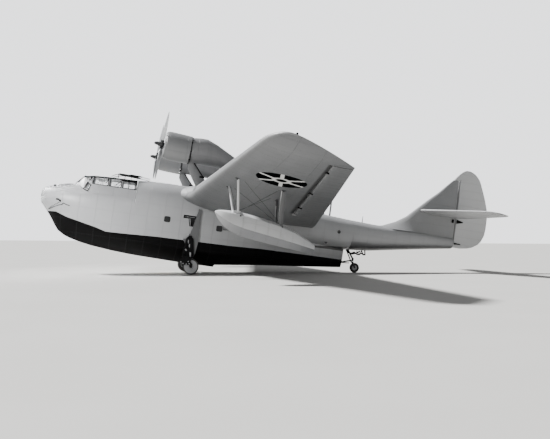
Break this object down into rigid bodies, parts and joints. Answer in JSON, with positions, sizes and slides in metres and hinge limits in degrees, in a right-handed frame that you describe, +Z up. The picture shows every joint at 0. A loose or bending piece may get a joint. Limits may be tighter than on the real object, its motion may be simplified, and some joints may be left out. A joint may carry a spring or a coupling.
{
  "type": "flying boat",
  "caption": "Twin-engined patrol flying boat with a two-step hull, shoulder wing, nacelles on struts, tip floats and fixed wheels, standing parked nose up.",
  "frame": {"origin": "centre of the bounding box at ground level, under the wheels", "axes": "+X towards the nose, +Y to port, +Z up"},
  "size_m": [20.9986, 28.95, 6.9934],
  "materials": {
    "topsides_paint": "satin grey lacquer",
    "bottom_paint": "black bottom paint",
    "glazing": "clear sheet",
    "rubber": "matt rubber",
    "engine_metal": "dark metal",
    "bare_metal": "bare aluminium"
  },
  "bodies": {
    "airframe": {"hull_topsides": "topsides_paint", "hull_bottom": "bottom_paint", "tail_boom": "topsides_paint", "cockpit_enclosure": "topsides_paint", "cockpit_glazing": "glazing", "wing_root_left": "topsides_paint", "wing_root_right": "topsides_paint", "wing_panel_left": "topsides_paint", "wing_panel_right": "topsides_paint", "wing_tip_left": "topsides_paint", "wing_tip_right": "topsides_paint", "engine_cowl_left": "topsides_paint", "engine_cowl_right": "topsides_paint", "nacelle_left": "topsides_paint", "nacelle_right": "topsides_paint", "nacelle_pylon_left": "topsides_paint", "nacelle_pylon_right": "topsides_paint", "nacelle_rear_struts_left": "topsides_paint", "nacelle_rear_struts_right": "topsides_paint", "engine_left": "engine_metal", "engine_right": "engine_metal", "float_left": "topsides_paint", "float_right": "topsides_paint", "float_struts_front_left": "topsides_paint", "float_struts_front_right": "topsides_paint", "float_struts_rear_left": "topsides_paint", "float_struts_rear_right": "topsides_paint", "fin": "topsides_paint", "tailplane_left": "topsides_paint", "tailplane_right": "topsides_paint", "main_leg_left": "topsides_paint", "main_leg_right": "topsides_paint", "tail_bracket": "engine_metal", "aerial_mast": "topsides_paint"},
    "propeller_left": {"propeller_left": "bare_metal"},
    "propeller_right": {"propeller_right": "bare_metal"},
    "aileron_left": {"aileron_left": "topsides_paint"},
    "aileron_right": {"aileron_right": "topsides_paint"},
    "elevators": {"elevator_left": "topsides_paint", "elevator_right": "topsides_paint"},
    "rudder": {"rudder": "topsides_paint"},
    "main_wheel_left": {"main_tyre_left": "rubber", "main_wheel_left": "topsides_paint"},
    "main_wheel_right": {"main_tyre_right": "rubber", "main_wheel_right": "topsides_paint"},
    "tail_swivel": {"tail_fork": "engine_metal"},
    "tail_wheel": {"tail_tyre": "rubber", "tail_wheel": "topsides_paint"},
    "bow_hatch": {"bow_hatch": "topsides_paint"},
    "gunner_hood": {"gunner_hood": "topsides_paint"}
  },
  "joints": [
    {"name": "propeller_left_spin", "type": "hinge", "parent": "airframe", "child": "propeller_left", "pos_m": [5.4346, 2.54, 5.4542], "axis": [0.9813, 0, 0.1925], "continuous": true},
    {"name": "propeller_right_spin", "type": "hinge", "parent": "airframe", "child": "propeller_right", "pos_m": [5.4346, -2.54, 5.4542], "axis": [0.9813, 0, 0.1925], "continuous": true},
    {"name": "aileron_left_hinge", "type": "hinge", "parent": "airframe", "child": "aileron_left", "pos_m": [0.1317, 4.56, 2.6783], "axis": [0.1071, 0.9874, 0.1165], "range_deg": [-20, 20]},
    {"name": "aileron_right_hinge", "type": "hinge", "parent": "airframe", "child": "aileron_right", "pos_m": [0.1317, -4.56, 2.6783], "axis": [-0.1071, 0.9874, -0.1165], "range_deg": [-20, 20]},
    {"name": "elevator_hinge", "type": "hinge", "parent": "airframe", "child": "elevators", "pos_m": [-8.4382, 0, 2.7141], "axis": [0, 1, 0], "range_deg": [-25, 20]},
    {"name": "rudder_hinge", "type": "hinge", "parent": "airframe", "child": "rudder", "pos_m": [-8.6392, 0, 1.3452], "axis": [-0.1305, 0, 0.9914], "range_deg": [-28, 28]},
    {"name": "main_wheel_left_spin", "type": "hinge", "parent": "airframe", "child": "main_wheel_left", "pos_m": [4.1157, 1.52, 0.3485], "axis": [0, 1, 0], "continuous": true},
    {"name": "main_wheel_right_spin", "type": "hinge", "parent": "airframe", "child": "main_wheel_right", "pos_m": [4.1157, -1.52, 0.3485], "axis": [0, 1, 0], "continuous": true},
    {"name": "tail_wheel_swivel", "type": "hinge", "parent": "airframe", "child": "tail_swivel", "pos_m": [-3.6115, 0, 0.4438], "axis": [-0.1305, 0, 0.9914], "range_deg": [-60, 60]},
    {"name": "tail_wheel_spin", "type": "hinge", "parent": "tail_swivel", "child": "tail_wheel", "pos_m": [-3.7143, 0, 0.2285], "axis": [0, 1, 0], "continuous": true},
    {"name": "bow_hatch_hinge", "type": "hinge", "parent": "airframe", "child": "bow_hatch", "pos_m": [9.0923, 0, 3.9136], "axis": [0, 1, 0], "range_deg": [-85, 0]},
    {"name": "gunner_hood_slide", "type": "slide", "parent": "airframe", "child": "gunner_hood", "axis": [-0.9807, 0, -0.1955], "range_m": [0, 0.7]}
  ],
  "couplings": [
    {"joint": "aileron_right_hinge", "follows": "aileron_left_hinge", "ratio": -1}
  ]
}
